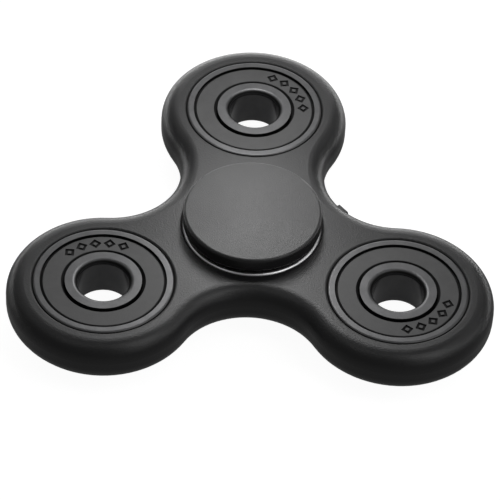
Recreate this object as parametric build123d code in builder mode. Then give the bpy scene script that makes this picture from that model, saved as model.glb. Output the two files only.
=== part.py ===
from build123d import *
import os
from math import cos, radians, sin

# Three-armed hand spinner. A tri-lobe plastic body holds four 608 ball bearings, one in the hub and
# one in each arm. Two finger caps are pressed into the hub bearing's bore, so the caps and that
# bearing's inner ring stand still while everything else turns round them.
#
# Frame: millimetres. The origin is the middle of the lower cap's flat outer face, on the spin axis,
# which is +Z. Arm 1 points along +Y, and arms 2 and 3 follow anticlockwise.

# Arms
arm_count = 3
arm_directions = [90 + 360 / arm_count * n for n in range(arm_count)]

# 608 ball bearing: the standard outside sizes and its ball complement
bore_diameter = 8.0
bearing_diameter = 22.0
bearing_width = 7.0
ball_diameter = 3.969
ball_count = 7

# Bearing rings
race_clearance = 0.035      # between a ball and the bottom of either raceway
shoulder_offset = 1.55      # from the ball circle to each ring's shoulder
bore_rounding = 0.8
shoulder_break = 0.15       # small bevel on the inner ring's outer edges
ring_corner = 0.45          # rounding of the outer ring's outside corners
land_width = 1.2            # flat face of the outer ring, its corner included
mouth_depth = 0.55          # from the ring's face down to its seal groove
groove_width = 0.45
groove_depth = 0.25

# Seals of the arm bearings and shields of the hub bearing
closure_recess = 0.15       # face of the seal below the faces of the rings
seal_thickness = 0.45
shield_thickness = 0.4
lip_clearance = 0.08        # running gap between the lip and the inner ring
lip_setback = 0.1           # the lip hangs this far inside the cage's inner edge
lip_drop = 0.95             # height of the cone that falls from the face to the lip's edge
lip_edge = 0.2              # thickness of the lip at the inner ring
rim_width = 0.5             # open groove between the seal's face and the outer ring's mouth
rim_floor = 0.1             # level bottom of that groove, where its slope ends
bead_clearance = 0.05       # between the bead and the walls of the seal groove
bead_setback = 0.05         # from the outer ring's shoulder to the bead

# Diamond-shaped marks sunk into the face of each rubber seal
mark_count = 5
mark_spacing = 16.0         # degrees
mark_size = 1.95
mark_stroke = 0.42
mark_depth = 0.25
upper_mark_directions = [36.5, 101.5, -49.0]
lower_mark_directions = [150.0, -20.0, 75.0]

# Riveted ribbon cage that keeps the balls apart
cage_sheet = 0.35
pocket_clearance = 0.1
cage_side_gap = 0.7         # from each ring's shoulder to the cage
rivet_radius = 0.25
rivet_head_radius = 0.45
rivet_head_height = 0.25
rivet_head_rounding = 0.1

# Tri-lobe body
web = 4.2                   # plastic between the hub's bore and an arm's bore
arm_wall = 4.0
hub_wall = 4.0
body_rounding = 2.8
seat_lip_rounding = 0.35    # rounded mouth of each bearing seat
gate_width = 2.3            # stub left on the waist where the moulding's gate was cut
gate_height = 3.0
gate_proud = 0.5
gate_root = 1.0             # how deep the stub is rooted in the wall
gate_rounding = 0.25
gate_direction = 30.0       # the waist between arms 3 and 1
gate_turn = 10.0            # degrees round that waist's arc, from its middle towards arm 3

# Finger caps
cap_thickness = 2.4
cap_setback = 0.1           # radius of the cap less than the bearing's
cap_gap = 0.65              # between the cap and the faces of the bearing
cap_rounding = 0.5
spacer_setback = 0.6        # the cap's raised spacer stays inside the inner ring's edge
peg_wall = 1.5
peg_tip_gap = 0.2           # between the tips of the two pegs
peg_tip_chamfer = 0.3
slot_width = 0.8
slot_depth = 2.4

# Sizes that follow
bore_radius = bore_diameter / 2
bearing_radius = bearing_diameter / 2
half_width = bearing_width / 2
ball_radius = ball_diameter / 2
pitch_radius = (bore_radius + bearing_radius) / 2
race_radius = ball_radius + race_clearance
inner_shoulder = pitch_radius - shoulder_offset
outer_shoulder = pitch_radius + shoulder_offset
mouth_radius = bearing_radius - land_width
groove_radius = mouth_radius + groove_depth
groove_roof = half_width - mouth_depth
ledge = groove_roof - groove_width
face_height = half_width - closure_recess

pocket_radius = ball_radius + pocket_clearance
pocket_crest = pocket_radius + cage_sheet
cage_inner = inner_shoulder + cage_side_gap
cage_outer = outer_shoulder - cage_side_gap

hub_radius = bearing_radius + hub_wall
arm_radius = bearing_radius + arm_wall
arm_reach = 2 * bearing_radius + web
waist_radius = (hub_radius**2 + arm_reach**2 - hub_radius * arm_reach - arm_radius**2) / (
    arm_reach + 2 * arm_radius - 2 * hub_radius
)
waist_reach = hub_radius + waist_radius

cap_radius = bearing_radius - cap_setback
spacer_radius = inner_shoulder - spacer_setback
peg_length = half_width - peg_tip_gap / 2
middle_height = cap_thickness + cap_gap + half_width


def polar(radius, direction):
    """The point at a radius and a direction in degrees from the spin axis."""
    return radius * cos(radians(direction)), radius * sin(radians(direction))


hub_centre = (0.0, 0.0)
arm_centres = [polar(arm_reach, direction) for direction in arm_directions]


def flat_plane(centre, side, height=0.0):
    """A level plane that faces up (side 1) or down (side -1), height from the mid-plane on that side."""
    origin = (*centre, middle_height + side * height)
    return Plane(origin=origin, x_dir=(1, 0, 0), z_dir=(0, 0, side))


def section_plane(centre, side=1):
    """The upright plane through a bearing's axis: x is the radius, y the height on the given side."""
    return Plane(origin=(*centre, middle_height), x_dir=(1, 0, 0), z_dir=(0, -side, 0))


def upright(centre):
    """The axis of a bearing."""
    return Axis((*centre, 0), (0, 0, 1))


def save(piece, label):
    """Name a finished piece and write its file."""
    piece.part.label = label
    export_step(piece.part, f"parts/{label}.step")


def make_body():
    """The moulded tri-lobe body: rounded arms, hollow waists and four bearing seats."""
    seats = [hub_centre, *arm_centres]
    with BuildPart() as body:
        with BuildSketch(Plane.XY.offset(middle_height - half_width)):
            with BuildLine():
                for direction, centre in zip(arm_directions, arm_centres):
                    before, after = (
                        Vector(*polar(waist_reach, direction + turn)) for turn in (-60, 60)
                    )
                    middle = Vector(*centre)
                    start = middle + (before - middle).normalized() * arm_radius
                    end = middle + (after - middle).normalized() * arm_radius
                    tip = polar(arm_reach + arm_radius, direction)
                    waist = polar(hub_radius, direction + 60)
                    next_start = start.rotate(Axis.Z, 360 / arm_count)
                    ThreePointArc(start, tip, end)
                    ThreePointArc(end, waist, next_start)
            make_face()
        extrude(amount=bearing_width)
        rims = edges().filter_by(Plane.XY)
        fillet(rims, body_rounding)

        waist_centre = polar(waist_reach, gate_direction)
        inward = polar(1, gate_direction + 180 + gate_turn)
        root = (
            waist_centre[0] + (waist_radius + gate_root) * inward[0],
            waist_centre[1] + (waist_radius + gate_root) * inward[1],
            middle_height,
        )
        outward = (-inward[0], -inward[1], 0)
        with BuildSketch(Plane(origin=root, x_dir=(0, 0, 1), z_dir=outward)):
            RectangleRounded(gate_height, gate_width, gate_rounding)
        extrude(amount=gate_root + gate_proud)

        with BuildSketch(Plane.XY.offset(middle_height - half_width)):
            with Locations(*seats):
                Circle(bearing_radius)
        extrude(amount=bearing_width, mode=Mode.SUBTRACT)
        mouths = [
            edge
            for edge in edges().filter_by(GeomType.CIRCLE)
            if abs(edge.radius - bearing_radius) < 0.001 and edge.is_closed
        ]
        fillet(mouths, seat_lip_rounding)
    save(body, "tri_lobe_body")


def make_cap(label, side):
    """A finger cap: a flat disc, a spacer that bears on the inner ring, and a split peg for its bore."""
    outer_face = half_width + cap_gap + cap_thickness
    with BuildPart() as cap:
        with BuildSketch(flat_plane(hub_centre, side, outer_face)):
            Circle(cap_radius)
        extrude(amount=-cap_thickness)
        fillet(edges(), cap_rounding)
        with BuildSketch(flat_plane(hub_centre, side, outer_face - cap_thickness)):
            Circle(spacer_radius)
        extrude(amount=-cap_gap)
        with BuildSketch(flat_plane(hub_centre, side, half_width)):
            Circle(bore_radius)
        extrude(amount=-peg_length)
        tip = edges().group_by(Axis.Z)[0 if side > 0 else -1]
        chamfer(tip, peg_tip_chamfer)
        with BuildSketch(flat_plane(hub_centre, side, half_width - peg_length)):
            Circle(bore_radius - peg_wall)
        extrude(amount=peg_length, mode=Mode.SUBTRACT)
        with BuildSketch(flat_plane(hub_centre, side, half_width - peg_length)):
            with PolarLocations(0, 2, angular_range=180):
                Rectangle(2 * bore_radius, slot_width)
        extrude(amount=slot_depth, mode=Mode.SUBTRACT)
    save(cap, label)


def make_inner_ring(label, centre):
    """The inner ring, with its round-edged bore and the inner raceway."""
    ring_wall = inner_shoulder - bore_radius
    with BuildPart() as ring:
        with BuildSketch(section_plane(centre)):
            with Locations((bore_radius, 0)):
                Rectangle(ring_wall, bearing_width, align=(Align.MIN, Align.CENTER))
            corners = vertices().group_by(Axis.X)
            fillet(corners[0], bore_rounding)
            chamfer(corners[-1], shoulder_break)
            with Locations((pitch_radius, 0)):
                Circle(race_radius, mode=Mode.SUBTRACT)
        revolve(axis=upright(centre))
    save(ring, label)


def make_outer_ring(label, centre):
    """The outer ring, with the outer raceway and a stepped mouth and seal groove at each end."""
    ring_wall = bearing_radius - outer_shoulder
    mouth_ends = [(outer_shoulder, side * half_width) for side in (1, -1)]
    groove_middle = (ledge + groove_roof) / 2
    with BuildPart() as ring:
        with BuildSketch(section_plane(centre)):
            with Locations((outer_shoulder, 0)):
                Rectangle(ring_wall, bearing_width, align=(Align.MIN, Align.CENTER))
            fillet(vertices().group_by(Axis.X)[-1], ring_corner)
            with Locations(*mouth_ends):
                Rectangle(
                    2 * (mouth_radius - outer_shoulder),
                    2 * (half_width - ledge),
                    mode=Mode.SUBTRACT,
                )
            with Locations((mouth_radius, groove_middle), (mouth_radius, -groove_middle)):
                Rectangle(2 * groove_depth, groove_width, mode=Mode.SUBTRACT)
            with Locations((pitch_radius, 0)):
                Circle(race_radius, mode=Mode.SUBTRACT)
        revolve(axis=upright(centre))
    save(ring, label)


def closure_outline(thickness):
    """The half-section of a seal or shield, from its lip at the inner ring to its bead in the groove."""
    lip_radius = inner_shoulder + lip_clearance
    face_inner = cage_inner - lip_setback
    lip_height = face_height - lip_drop
    bead_radius = groove_radius - bead_clearance
    bead_inner = outer_shoulder + bead_setback
    bead_top = groove_roof - bead_clearance
    underside = face_height - thickness
    return [
        (lip_radius, lip_height),
        (face_inner, face_height),
        (mouth_radius - rim_width, face_height),
        (mouth_radius - rim_floor, bead_top),
        (bead_radius, bead_top),
        (bead_radius, ledge),
        (bead_inner, ledge),
        (bead_inner, underside),
        (face_inner, underside),
        (lip_radius, lip_height - lip_edge),
    ]


def make_shield(label, side):
    """A pressed steel shield of the hub bearing, which stops just short of the inner ring."""
    with BuildPart() as shield:
        with BuildSketch(section_plane(hub_centre, side)):
            with BuildLine():
                Polyline(*closure_outline(shield_thickness), close=True)
            make_face()
        revolve(axis=upright(hub_centre))
    save(shield, label)


def make_seal(label, centre, side, mark_direction):
    """A rubber seal of an arm bearing, with an arc of diamond marks sunk into its face."""
    mark_radius = (inner_shoulder + mouth_radius) / 2 + lip_clearance
    mark_sweep = mark_spacing * (mark_count - 1)
    with BuildPart() as seal:
        with BuildSketch(section_plane(centre, side)):
            with BuildLine():
                Polyline(*closure_outline(seal_thickness), close=True)
            make_face()
        revolve(axis=upright(centre))
        with BuildSketch(flat_plane(centre, side, face_height)):
            with PolarLocations(
                mark_radius,
                mark_count,
                start_angle=mark_direction - mark_sweep / 2,
                angular_range=mark_sweep,
                endpoint=True,
            ):
                RegularPolygon(mark_size / 2, 4)
                RegularPolygon(mark_size / 2 - mark_stroke * 2**0.5, 4, mode=Mode.SUBTRACT)
        extrude(amount=-mark_depth, mode=Mode.SUBTRACT)
    save(seal, label)


def make_cage_half(label, centre, side):
    """One stamped half of the ribbon cage: a flat ring with a round pocket over each ball."""
    plane = flat_plane(centre, side)
    rivet_start = 180 / ball_count
    with BuildPart(plane) as cage:
        with BuildSketch(plane):
            Circle(bearing_radius)
        extrude(amount=cage_sheet)
        with PolarLocations(pitch_radius, ball_count):
            Sphere(pocket_crest)
        with BuildSketch(plane):
            Circle(cage_outer)
            Circle(cage_inner, mode=Mode.SUBTRACT)
        extrude(amount=2 * pocket_crest, mode=Mode.INTERSECT)
        with PolarLocations(pitch_radius, ball_count):
            Sphere(pocket_radius, mode=Mode.SUBTRACT)
        with BuildSketch(plane):
            with PolarLocations(pitch_radius, ball_count, start_angle=rivet_start):
                Circle(rivet_radius)
        extrude(amount=cage_sheet, mode=Mode.SUBTRACT)
    save(cage, label)


def make_rivets(label, centre):
    """The rivets between the pockets, each with a head on both halves of the cage."""
    rivet_start = 180 / ball_count
    with BuildPart() as rivets:
        with BuildSketch(flat_plane(centre, 1, -cage_sheet)):
            with PolarLocations(pitch_radius, ball_count, start_angle=rivet_start):
                Circle(rivet_radius)
        extrude(amount=2 * cage_sheet)
        for side in (1, -1):
            with BuildSketch(flat_plane(centre, side, cage_sheet)):
                with PolarLocations(pitch_radius, ball_count, start_angle=rivet_start):
                    Circle(rivet_head_radius)
            extrude(amount=rivet_head_height)
        tops = edges().group_by(Axis.Z)[-1] + edges().group_by(Axis.Z)[0]
        fillet(tops, rivet_head_rounding)
    save(rivets, label)


def make_balls(bearing, centre):
    """The balls of one bearing, each a piece of its own."""
    for number in range(ball_count):
        x, y = polar(pitch_radius, 360 / ball_count * number)
        with BuildPart() as ball:
            with Locations((centre[0] + x, centre[1] + y, middle_height)):
                Sphere(ball_radius)
        save(ball, f"{bearing}_ball_{number + 1}")


def make_bearing(bearing, centre):
    """Everything inside a bearing except its seals or shields."""
    make_outer_ring(f"{bearing}_outer_ring", centre)
    make_inner_ring(f"{bearing}_inner_ring", centre)
    make_cage_half(f"{bearing}_cage_upper", centre, 1)
    make_cage_half(f"{bearing}_cage_lower", centre, -1)
    make_rivets(f"{bearing}_cage_rivets", centre)
    make_balls(bearing, centre)


os.makedirs("parts", exist_ok=True)

make_body()
make_cap("cap_upper", 1)
make_cap("cap_lower", -1)

make_bearing("hub", hub_centre)
make_shield("hub_shield_upper", 1)
make_shield("hub_shield_lower", -1)

for number, centre in enumerate(arm_centres, start=1):
    make_bearing(f"arm_{number}", centre)
    make_seal(f"arm_{number}_seal_upper", centre, 1, upper_mark_directions[number - 1])
    make_seal(f"arm_{number}_seal_lower", centre, -1, lower_mark_directions[number - 1])
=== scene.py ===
import math

import bpy
from mathutils import Matrix, Vector


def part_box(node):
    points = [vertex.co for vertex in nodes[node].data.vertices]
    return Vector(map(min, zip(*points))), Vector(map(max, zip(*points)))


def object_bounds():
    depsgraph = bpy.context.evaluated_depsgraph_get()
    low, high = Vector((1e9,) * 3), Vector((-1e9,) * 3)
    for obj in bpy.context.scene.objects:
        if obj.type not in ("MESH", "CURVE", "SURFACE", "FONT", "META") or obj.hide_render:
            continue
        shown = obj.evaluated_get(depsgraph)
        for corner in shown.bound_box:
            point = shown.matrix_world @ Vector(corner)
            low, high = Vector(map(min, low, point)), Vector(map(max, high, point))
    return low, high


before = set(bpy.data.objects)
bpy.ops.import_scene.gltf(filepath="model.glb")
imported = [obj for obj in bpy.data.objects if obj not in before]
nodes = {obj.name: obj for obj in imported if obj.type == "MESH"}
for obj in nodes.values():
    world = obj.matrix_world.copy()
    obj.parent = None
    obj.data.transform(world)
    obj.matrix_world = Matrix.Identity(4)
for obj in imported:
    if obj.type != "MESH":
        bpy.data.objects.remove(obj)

cad_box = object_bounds()

MM = 0.001

# ---------------------------------------------------------------- places, from the frame
BODY_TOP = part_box("tri_lobe_body")[1].z
FLOOR = cad_box[0].z


def axis_of(node):
    """The middle of a round node, where its own axis stands."""
    low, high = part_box(node)
    return (low + high) / 2


# ---------------------------------------------------------------- camera
CAMERA_AZIMUTH = -1.451
CAMERA_ELEVATION = 46.17
CAMERA_ROLL = 3.107
CAMERA_DISTANCE = 512.2 * MM
CAMERA_TARGET = Vector((-0.249 * MM, -5.611 * MM, BODY_TOP))
CAMERA_LENS = 237.45
SENSOR_WIDTH = 36
CLIP_START = 0.01
CLIP_END = 20


def make_camera():
    """A long lens that looks down on the front of the spinner, rolled slightly."""
    azimuth = math.radians(CAMERA_AZIMUTH)
    elevation = math.radians(CAMERA_ELEVATION)
    roll = math.radians(CAMERA_ROLL)
    back = Vector((
        math.sin(azimuth) * math.cos(elevation),
        -math.cos(azimuth) * math.cos(elevation),
        math.sin(elevation),
    ))
    level = (-back).cross(Vector((0, 0, 1))).normalized()
    upright = level.cross(-back)
    right = level * math.cos(roll) + upright * math.sin(roll)
    up = upright * math.cos(roll) - level * math.sin(roll)
    lens = bpy.data.cameras.new("camera")
    lens.lens = CAMERA_LENS
    lens.sensor_width = SENSOR_WIDTH
    lens.clip_start = CLIP_START
    lens.clip_end = CLIP_END
    camera = bpy.data.objects.new("camera", lens)
    turn = Matrix((right, up, back)).transposed().to_4x4()
    camera.matrix_world = Matrix.Translation(CAMERA_TARGET + back * CAMERA_DISTANCE) @ turn
    bpy.context.scene.collection.objects.link(camera)
    bpy.context.scene.camera = camera


# ---------------------------------------------------------------- node helpers
class Nodes:
    """A small helper that adds and links the nodes of one material."""

    def __init__(self, name):
        self.material = bpy.data.materials.new(name)
        self.material.use_nodes = True
        self.tree = self.material.node_tree
        self.tree.nodes.clear()
        self.output = self.add("ShaderNodeOutputMaterial")

    def add(self, kind, **inputs):
        node = self.tree.nodes.new(kind)
        for name, value in inputs.items():
            self.set(node, name.replace("_", " "), value)
        return node

    def set(self, node, socket, value):
        """A socket takes a plain value or another node's output."""
        target = node.inputs[socket]
        if isinstance(value, bpy.types.NodeSocket):
            self.tree.links.new(value, target)
        else:
            target.default_value = value

    def math(self, operation, *values):
        node = self.tree.nodes.new("ShaderNodeMath")
        node.operation = operation
        for index, value in enumerate(values):
            self.set(node, index, value)
        return node.outputs[0]

    def noise(self, vector, scale, detail=2.0, roughness=0.5):
        node = self.add("ShaderNodeTexNoise", Scale=scale, Detail=detail, Roughness=roughness)
        self.set(node, "Vector", vector)
        return node.outputs["Fac"]

    def ramp(self, value, low, high, out_low, out_high):
        """A clamped straight-line map from one range to another."""
        node = self.tree.nodes.new("ShaderNodeMapRange")
        for name, given in (
            ("Value", value),
            ("From Min", low),
            ("From Max", high),
            ("To Min", out_low),
            ("To Max", out_high),
        ):
            self.set(node, name, given)
        return node.outputs["Result"]

    def blend(self, factor, first, second):
        """A colour between two colours."""
        node = self.tree.nodes.new("ShaderNodeMix")
        node.data_type = "RGBA"
        self.set(node, 0, factor)
        self.set(node, 6, first)
        self.set(node, 7, second)
        return node.outputs[2]

    def bump(self, height, distance, strength=1.0, normal=None):
        node = self.add("ShaderNodeBump", Strength=strength, Distance=distance)
        self.set(node, "Height", height)
        if normal is not None:
            self.set(node, "Normal", normal)
        return node.outputs["Normal"]

    def place(self):
        """The point on the part, in metres, in the row frame."""
        return self.add("ShaderNodeTexCoord").outputs["Object"]

    def weigh(self, first, first_share, second, second_share):
        """The sum of two values, each times its share."""
        return self.math(
            "ADD",
            self.math("MULTIPLY", first, first_share),
            self.math("MULTIPLY", second, second_share),
        )

    def turned(self, radius, pitch, detail=3.0, roughness=0.7):
        """Fine uneven rings round an axis, from the distance to it."""
        line = self.add("ShaderNodeTexNoise", Scale=1.0, Detail=detail, Roughness=roughness)
        line.noise_dimensions = "1D"
        self.set(line, "W", self.math("MULTIPLY", radius, 1 / pitch))
        return line.outputs["Fac"]

    def radius_from(self, centre):
        """The distance of the point from an upright axis through centre, in metres."""
        away = self.tree.nodes.new("ShaderNodeVectorMath")
        away.operation = "SUBTRACT"
        self.set(away, 0, self.place())
        self.set(away, 1, centre)
        flat = self.tree.nodes.new("ShaderNodeVectorMath")
        flat.operation = "MULTIPLY"
        self.set(flat, 0, away.outputs[0])
        self.set(flat, 1, (1, 1, 0))
        length = self.tree.nodes.new("ShaderNodeVectorMath")
        length.operation = "LENGTH"
        self.set(length, 0, flat.outputs[0])
        return length.outputs["Value"]

    def below(self, face):
        """The distance of the point from the level plane at the height face, in metres."""
        height = self.add("ShaderNodeSeparateXYZ")
        self.set(height, 0, self.place())
        return self.math("ABSOLUTE", self.math("SUBTRACT", height.outputs["Z"], face))

    def edges(self):
        """1 on sharp outer edges, 0 elsewhere."""
        pointiness = self.add("ShaderNodeNewGeometry").outputs["Pointiness"]
        return self.ramp(pointiness, 0.52, 0.62, 0.0, 1.0)

    def finish(self, **inputs):
        shader = self.add("ShaderNodeBsdfPrincipled")
        for name, value in inputs.items():
            self.set(shader, name.replace("_", " "), value)
        self.tree.links.new(shader.outputs[0], self.output.inputs["Surface"])
        return self.material


# ---------------------------------------------------------------- colours, linear RGBA
ABS_BLACK = (0.011, 0.011, 0.0115, 1)
ABS_WORN = (0.05, 0.05, 0.05, 1)
OXIDE_LIGHT = (0.118, 0.118, 0.120, 1)
OXIDE_DARK = (0.090, 0.090, 0.092, 1)
OXIDE_RINGS = (0.08, 0.08, 0.082, 1)
# painted shade for the recesses of the black rings
OXIDE_PAINTED_SHADE = (0.012, 0.012, 0.012, 1)
RUBBER_BLACK = (0.040, 0.040, 0.0405, 1)
RUBBER_BLOOM = (0.055, 0.055, 0.0555, 1)
# painted shade for the seal's marks, lip and rim groove
RUBBER_PAINTED_SHADE = (0.004, 0.004, 0.004, 1)
GROUND_STEEL = (0.90, 0.90, 0.91, 1)
GROUND_STEEL_DULL = (0.76, 0.76, 0.77, 1)
PRESSED_STEEL = (0.58, 0.58, 0.59, 1)
PRESSED_STEEL_DULL = (0.45, 0.45, 0.46, 1)
BALL_STEEL = (0.60, 0.60, 0.61, 1)
BALL_STEEL_CLEAN = (0.70, 0.70, 0.71, 1)
CAGE_STEEL = (0.47, 0.46, 0.44, 1)
RIVET_STEEL = (0.40, 0.40, 0.40, 1)


def scaled(colour, share):
    """The colour made lighter or darker, no lighter than white."""
    return [min(1.0, part * share) for part in colour[:3]] + [1]


# ---------------------------------------------------------------- materials
BODY_GRAIN = 0.11 * MM
BODY_ROUGHNESS = 0.35
CAP_GRAIN = 0.07 * MM
CAP_ROUGHNESS = 0.37
PEBBLE_SHARE = 2.6         # size of the coarser grain, in fine grains
CLOUD_SIZE = 9 * MM        # flow clouds of the moulding
SCUFF_SIZE = 1.2 * MM
SEAM_WIDTH = 0.45 * MM     # dusty band round a bearing seat
SEAM_ROUGHNESS = 0.45

RING_PITCH = 0.06 * MM     # grinding marks of the bearing rings
SHIELD_PITCH = 0.12 * MM
SEAL_PITCH = 0.3 * MM
PATCH_SIZE = 2.5 * MM      # patches of oxide or polish
SPECK_SIZE = 0.12 * MM
RING_ROUGHNESS = 0.33
SHIELD_ROUGHNESS = 0.3
HONED_POLISH = 0.19        # how much smoother the bore is than the ring's face
SUNK_DULLNESS = 0.25       # how much rougher its recesses are

RUBBER_GRAIN = 0.09 * MM
BLOOM_SIZE = 3 * MM
SEAL_SUNK_DULLNESS = 0.35

CAGE_ROUGHNESS = 0.34
RIVET_ROUGHNESS = 0.42


def moulded_plastic(name, roughness, grain, seams=(), seam_radius=0.0):
    """Black moulded ABS: an eroded-mould grain, faint flow clouds, and edges polished by handling.
    Dust dulls the seams, which are circles round the given centres."""
    n = Nodes(name)
    place = n.place()
    fine = n.noise(place, 1 / grain, 3.0, 0.6)
    pebble = n.noise(place, 1 / (PEBBLE_SHARE * grain), 2.0, 0.5)
    clouds = n.noise(place, 1 / CLOUD_SIZE, 3.0, 0.55)
    scuffs = n.noise(place, 1 / SCUFF_SIZE, 5.0, 0.7)
    worn = n.math("MULTIPLY", n.edges(), n.ramp(scuffs, 0.4, 0.65, 0.2, 1.0))
    tone = n.weigh(clouds, 0.5, fine, 0.5)
    base = n.blend(n.ramp(tone, 0.35, 0.65, 0.0, 1.0), ABS_BLACK, scaled(ABS_BLACK, 1.25))
    base = n.blend(n.math("MULTIPLY", worn, 0.35), base, ABS_WORN)
    mottle = n.weigh(clouds, 0.6, scuffs, 0.4)
    rough = n.ramp(mottle, 0.35, 0.65, roughness - 0.03, roughness + 0.03)
    rough = n.math("SUBTRACT", rough, n.math("MULTIPLY", worn, 0.06))
    for centre in seams:
        radius = n.radius_from(centre)
        seam = n.ramp(radius, seam_radius, seam_radius + SEAM_WIDTH, SEAM_ROUGHNESS, 0.0)
        rough = n.math("ADD", rough, n.math("MINIMUM", seam, SEAM_ROUGHNESS))
    normal = n.bump(fine, 0.019 * MM, 0.7)
    normal = n.bump(pebble, 0.042 * MM, 0.6, normal)
    normal = n.bump(clouds, 0.03 * MM, 0.35, normal)
    return n.finish(Base_Color=base, Roughness=rough, Normal=normal)


def turned_steel(name, centre, colour, dull, roughness, pitch):
    """Ground bearing steel: fine rings round the bearing's axis, and a patchy polish."""
    n = Nodes(name)
    place = n.place()
    rings = n.turned(n.radius_from(centre), pitch)
    patches = n.noise(place, 1 / PATCH_SIZE, 4.0, 0.6)
    specks = n.noise(place, 1 / SPECK_SIZE, 2.0, 0.5)
    base = n.blend(n.ramp(patches, 0.35, 0.7, 0.0, 1.0), colour, dull)
    base = n.blend(n.math("MULTIPLY", n.ramp(rings, 0.4, 0.7, 0.0, 1.0), 0.3), base, dull)
    grind = n.weigh(rings, 0.6, specks, 0.4)
    rough = n.ramp(grind, 0.3, 0.7, roughness - 0.05, roughness + 0.07)
    rough = n.math("SUBTRACT", rough, n.math("MULTIPLY", n.edges(), 0.05))
    normal = n.bump(rings, 0.004 * MM, 0.5)
    normal = n.bump(specks, 0.002 * MM, 0.4, normal)
    return n.finish(Base_Color=base, Metallic=1.0, Roughness=rough, Normal=normal)


def oxide_steel(name, centre, faces, bore):
    """Black-oxide bearing steel: ground faces with fine rings, a honed bore, and rougher recesses
    painted near-black as shade. The faces are the two heights of the ring's flat sides."""
    n = Nodes(name)
    place = n.place()
    radius = n.radius_from(centre)
    rings = n.turned(radius, RING_PITCH)
    patches = n.noise(place, 1 / PATCH_SIZE, 4.0, 0.6)
    specks = n.noise(place, 1 / SPECK_SIZE, 2.0, 0.5)
    honed = n.ramp(radius, bore * 1.005, bore * 1.03, 1.0, 0.0)
    off_face = n.math("MINIMUM", n.below(faces[0]), n.below(faces[1]))
    recess = n.ramp(off_face, 0.05 * MM, 0.2 * MM, 0.0, 1.0)
    sunk_painted_shade = n.math("MULTIPLY", recess, n.math("SUBTRACT", 1.0, honed))
    base = n.blend(n.ramp(patches, 0.35, 0.7, 0.0, 1.0), OXIDE_LIGHT, OXIDE_DARK)
    base = n.blend(n.math("MULTIPLY", n.ramp(rings, 0.4, 0.7, 0.0, 1.0), 0.3), base, OXIDE_RINGS)
    # painted shade: the recesses below the ring's two faces, but not the honed bore, are painted
    # near-black
    base = n.blend(sunk_painted_shade, base, OXIDE_PAINTED_SHADE)
    rough = n.ramp(n.weigh(rings, 0.6, specks, 0.4), 0.3, 0.7, 0.33, 0.45)
    rough = n.math("SUBTRACT", rough, n.math("MULTIPLY", honed, HONED_POLISH))
    rough = n.math("ADD", rough, n.math("MULTIPLY", sunk_painted_shade, SUNK_DULLNESS))
    normal = n.bump(rings, 0.004 * MM, 0.5)
    normal = n.bump(specks, 0.002 * MM, 0.4, normal)
    return n.finish(Base_Color=base, Metallic=0.8, Roughness=rough, Normal=normal)


def seal_rubber(name, centre, face):
    """Matt nitrile rubber from a turned mould: faint rings, a dry bloom and a dusty mottle. Only
    the face, a height, is rubbed smooth; the marks, lip and rim groove below it stay dull and are
    painted near-black as shade."""
    n = Nodes(name)
    place = n.place()
    rings = n.turned(n.radius_from(centre), SEAL_PITCH, 2.0, 0.6)
    grain = n.noise(place, 1 / RUBBER_GRAIN, 3.0, 0.6)
    bloom = n.noise(place, 1 / BLOOM_SIZE, 4.0, 0.6)
    sunk_painted_shade = n.ramp(n.below(face), 0.03 * MM, 0.12 * MM, 0.0, 1.0)
    base = n.blend(n.ramp(bloom, 0.35, 0.7, 0.0, 1.0), RUBBER_BLACK, RUBBER_BLOOM)
    # painted shade: below the face, the marks, lip and rim groove are painted near-black
    base = n.blend(sunk_painted_shade, base, RUBBER_PAINTED_SHADE)
    rough = n.ramp(n.weigh(bloom, 0.5, grain, 0.5), 0.3, 0.7, 0.45, 0.54)
    rough = n.math("ADD", rough, n.math("MULTIPLY", sunk_painted_shade, SEAL_SUNK_DULLNESS))
    normal = n.bump(grain, 0.01 * MM, 0.5)
    normal = n.bump(rings, 0.006 * MM, 0.4, normal)
    return n.finish(Base_Color=base, Roughness=rough, Normal=normal)


def lapped_steel(name):
    """Ball steel: a near-mirror lapped surface with hairline scuffs."""
    n = Nodes(name)
    place = n.place()
    scuffs = n.noise(place, 1 / (0.5 * MM), 6.0, 0.75)
    grain = n.noise(place, 1 / (0.04 * MM), 2.0, 0.5)
    base = n.blend(n.ramp(scuffs, 0.35, 0.65, 0.0, 1.0), BALL_STEEL, BALL_STEEL_CLEAN)
    rough = n.ramp(scuffs, 0.45, 0.7, 0.07, 0.16)
    normal = n.bump(grain, 0.0008 * MM, 0.4)
    return n.finish(Base_Color=base, Metallic=1.0, Roughness=rough, Normal=normal)


def stamped_steel(name, colour, roughness):
    """Stamped soft steel, tumbled after pressing: dull, dimpled, brighter on its edges."""
    n = Nodes(name)
    place = n.place()
    dimples = n.noise(place, 1 / (0.35 * MM), 4.0, 0.65)
    stain = n.noise(place, 1 / (1.5 * MM), 3.0, 0.6)
    base = n.blend(n.ramp(stain, 0.4, 0.7, 0.0, 1.0), colour, scaled(colour, 0.72))
    base = n.blend(n.math("MULTIPLY", n.edges(), 0.6), base, scaled(colour, 1.3))
    rough = n.ramp(dimples, 0.3, 0.7, roughness - 0.07, roughness + 0.09)
    normal = n.bump(dimples, 0.012 * MM, 0.5)
    return n.finish(Base_Color=base, Metallic=1.0, Roughness=rough, Normal=normal)


# ---------------------------------------------------------------- finishes of the pieces
HUB = "hub"
ARMS = ("arm_1", "arm_2", "arm_3")
BALLS = 7
BORE_SHARE = 0.672     # of an inner ring's outside radius


def paint(material, *names):
    """Put one material on every slot of some CAD nodes."""
    for name in names:
        mesh = nodes[name].data
        if not mesh.materials:
            mesh.materials.append(material)
        for index in range(len(mesh.materials)):
            mesh.materials[index] = material


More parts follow.
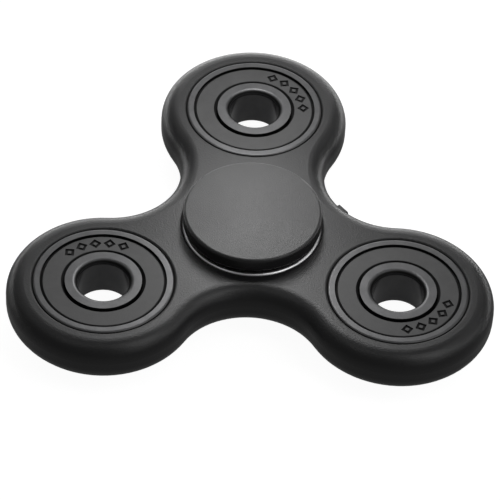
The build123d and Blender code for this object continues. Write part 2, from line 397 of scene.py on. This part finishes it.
def paint_plastic():
    """The body and the finger caps."""
    seats = [axis_of(f"{bearing}_outer_ring") for bearing in (HUB, *ARMS)]
    ring_low, ring_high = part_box(f"{HUB}_outer_ring")
    seat_radius = (ring_high.x - ring_low.x) / 2
    body = moulded_plastic("body_black_abs", BODY_ROUGHNESS, BODY_GRAIN, seats, seat_radius)
    paint(body, "tri_lobe_body")
    paint(moulded_plastic("cap_black_abs", CAP_ROUGHNESS, CAP_GRAIN), "cap_upper", "cap_lower")


def paint_hub_bearing():
    """The bright bearing under the caps."""
    centre = axis_of(f"{HUB}_outer_ring")
    ring = turned_steel(
        "hub_ring_ground_steel", centre, GROUND_STEEL, GROUND_STEEL_DULL, RING_ROUGHNESS, RING_PITCH
    )
    shield = turned_steel(
        "hub_shield_pressed_steel",
        centre,
        PRESSED_STEEL,
        PRESSED_STEEL_DULL,
        SHIELD_ROUGHNESS,
        SHIELD_PITCH,
    )
    paint(ring, f"{HUB}_outer_ring", f"{HUB}_inner_ring")
    paint(shield, f"{HUB}_shield_upper", f"{HUB}_shield_lower")


def paint_arm_bearing(arm):
    """A black bearing with rubber seals."""
    centre = axis_of(f"{arm}_outer_ring")
    low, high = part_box(f"{arm}_inner_ring")
    bore = BORE_SHARE * (high.x - low.x) / 2
    ring = oxide_steel(f"{arm}_ring_black_oxide", centre, (low.z, high.z), bore)
    paint(ring, f"{arm}_outer_ring", f"{arm}_inner_ring")
    for side, face in (("upper", 1), ("lower", 0)):
        seal = f"{arm}_seal_{side}"
        paint(seal_rubber(f"{seal}_black_rubber", centre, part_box(seal)[face].z), seal)


def paint_ball_trains():
    """The balls, cages and rivets of every bearing."""
    ball = lapped_steel("lapped_ball_steel")
    cage = stamped_steel("cage_stamped_steel", CAGE_STEEL, CAGE_ROUGHNESS)
    rivet = stamped_steel("rivet_headed_steel", RIVET_STEEL, RIVET_ROUGHNESS)
    for bearing in (HUB, *ARMS):
        paint(cage, f"{bearing}_cage_upper", f"{bearing}_cage_lower")
        paint(rivet, f"{bearing}_cage_rivets")
        paint(ball, *(f"{bearing}_ball_{number}" for number in range(1, BALLS + 1)))


# ---------------------------------------------------------------- floor and light
FLOOR_REACH = 4.0      # metres from the middle to each side
FLOOR_LIGHT = (0.24, 0.24, 0.24, 1)
FLOOR_DARK = (0.20, 0.20, 0.20, 1)
FLOOR_MOTTLE = 0.4     # metres
FLOOR_GLOW = 0.95
ROOM_GLOW = 0.12
WHITE = (1, 1, 1, 1)
SWEEP_FRONT = 0.20     # glow of the floor under and in front of the object
SWEEP_BACK = 8.0       # how much brighter it gets towards the backdrop
SWEEP_NEAR = 0.028     # metres behind the hub, where that rise starts
SWEEP_FAR = 0.30       # and where it ends


def make_floor():
    """A pale studio floor. The camera sees it white, with a faint shadow. What the glossy plastic
    mirrors is the sweep it stands for: dim under the object, and bright towards the backdrop. It is
    clear from below, so the underside can be looked at."""
    mesh = bpy.data.meshes.new("floor")
    turns = ((-1, -1), (1, -1), (1, 1), (-1, 1))
    corners = [(x * FLOOR_REACH, y * FLOOR_REACH, FLOOR) for x, y in turns]
    mesh.from_pydata(corners, [], [(0, 1, 2, 3)])
    floor = bpy.data.objects.new("floor", mesh)
    bpy.context.scene.collection.objects.link(floor)
    n = Nodes("pale_floor")
    seen = n.add("ShaderNodeLightPath").outputs["Is Camera Ray"]
    mottle = n.noise(n.place(), 1 / FLOOR_MOTTLE, 2.0, 0.5)
    pale = n.add("ShaderNodeBsdfDiffuse")
    n.set(pale, "Color", n.blend(mottle, FLOOR_DARK, FLOOR_LIGHT))
    glow = n.add("ShaderNodeEmission", Color=WHITE, Strength=FLOOR_GLOW)
    bright = n.add("ShaderNodeAddShader")
    n.set(bright, 0, pale.outputs[0])
    n.set(bright, 1, glow.outputs[0])
    depth = n.add("ShaderNodeSeparateXYZ")
    n.set(depth, 0, n.place())
    rise = n.ramp(depth.outputs["Y"], SWEEP_NEAR, SWEEP_FAR, 0.0, SWEEP_BACK)
    strength = n.math("ADD", rise, SWEEP_FRONT)
    sweep = n.add("ShaderNodeEmission", Color=WHITE)
    n.set(sweep, "Strength", strength)
    top = n.add("ShaderNodeMixShader")
    n.set(top, 0, seen)
    n.set(top, 1, sweep.outputs[0])
    n.set(top, 2, bright.outputs[0])
    clear = n.add("ShaderNodeBsdfTransparent")
    sheet = n.add("ShaderNodeMixShader")
    n.set(sheet, 0, n.add("ShaderNodeNewGeometry").outputs["Backfacing"])
    n.set(sheet, 1, top.outputs[0])
    n.set(sheet, 2, clear.outputs[0])
    n.tree.links.new(sheet.outputs[0], n.output.inputs["Surface"])
    mesh.materials.append(n.material)


def make_world():
    """A dim even room that the camera sees as white."""
    world = bpy.data.worlds.new("studio")
    world.use_nodes = True
    tree = world.node_tree
    tree.nodes.clear()
    seen = tree.nodes.new("ShaderNodeLightPath")
    room = tree.nodes.new("ShaderNodeBackground")
    room.inputs["Color"].default_value = WHITE
    room.inputs["Strength"].default_value = ROOM_GLOW
    white = tree.nodes.new("ShaderNodeBackground")
    white.inputs["Color"].default_value = WHITE
    white.inputs["Strength"].default_value = 1.0
    mix = tree.nodes.new("ShaderNodeMixShader")
    output = tree.nodes.new("ShaderNodeOutputWorld")
    tree.links.new(seen.outputs["Is Camera Ray"], mix.inputs[0])
    tree.links.new(room.outputs[0], mix.inputs[1])
    tree.links.new(white.outputs[0], mix.inputs[2])
    tree.links.new(mix.outputs[0], output.inputs["Surface"])
    bpy.context.scene.world = world


# name, aim behind the hub in mm, azimuth and elevation in degrees, distance, width and height in
# metres, and watts. Azimuth 0 is behind the spinner and 90 to its right.
SOFTBOXES = (
    ("key", -2, 0, 49, 0.07, 0.014, 0.026, 0.0132),
    ("key_front", -34, 0, 46, 0.09, 0.07, 0.010, 0.0115),
    ("backdrop", 0, 0, 28, 0.6, 0.36, 0.2, 0.44),
    ("backdrop_low", 0, 0, 10, 0.6, 0.5, 0.16, 0.50),
    ("back_right", 0, 60, 50, 0.6, 0.3, 0.2, 0.12),
    ("back_left", 0, 300, 50, 0.6, 0.3, 0.2, 0.06),
    ("right", 0, 90, 28, 0.6, 0.36, 0.2, 0.24),
    ("front_right_low", 0, 135, 28, 0.6, 0.36, 0.2, 0.12),
    ("front_right", 0, 120, 50, 0.6, 0.3, 0.2, 0.30),
    ("front_right_high", 0, 120, 68, 0.6, 0.2, 0.2, 0.20),
    ("front_left_high", 0, 240, 68, 0.6, 0.2, 0.2, 0.08),
)


def make_softbox(name, aim, azimuth, elevation, distance, width, height, power):
    """A rectangular softbox that faces a point level with the body's top."""
    turn, tilt = math.radians(azimuth), math.radians(elevation)
    away = Vector((
        math.sin(turn) * math.cos(tilt),
        math.cos(turn) * math.cos(tilt),
        math.sin(tilt),
    ))
    light = bpy.data.lights.new(name, "AREA")
    light.shape = "RECTANGLE"
    light.size = width
    light.size_y = height
    light.energy = power
    lamp = bpy.data.objects.new(name, light)
    lamp.rotation_mode = "QUATERNION"
    lamp.location = Vector((0, aim * MM, BODY_TOP)) + away * distance
    lamp.rotation_quaternion = (-away).to_track_quat("-Z", "Y")
    bpy.context.scene.collection.objects.link(lamp)


make_camera()
paint_plastic()
paint_hub_bearing()
for arm in ARMS:
    paint_arm_bearing(arm)
paint_ball_trains()
make_floor()
make_world()
for box in SOFTBOXES:
    make_softbox(*box)

view = bpy.context.scene.view_settings
view.view_transform = "Standard"
view.look = "None"
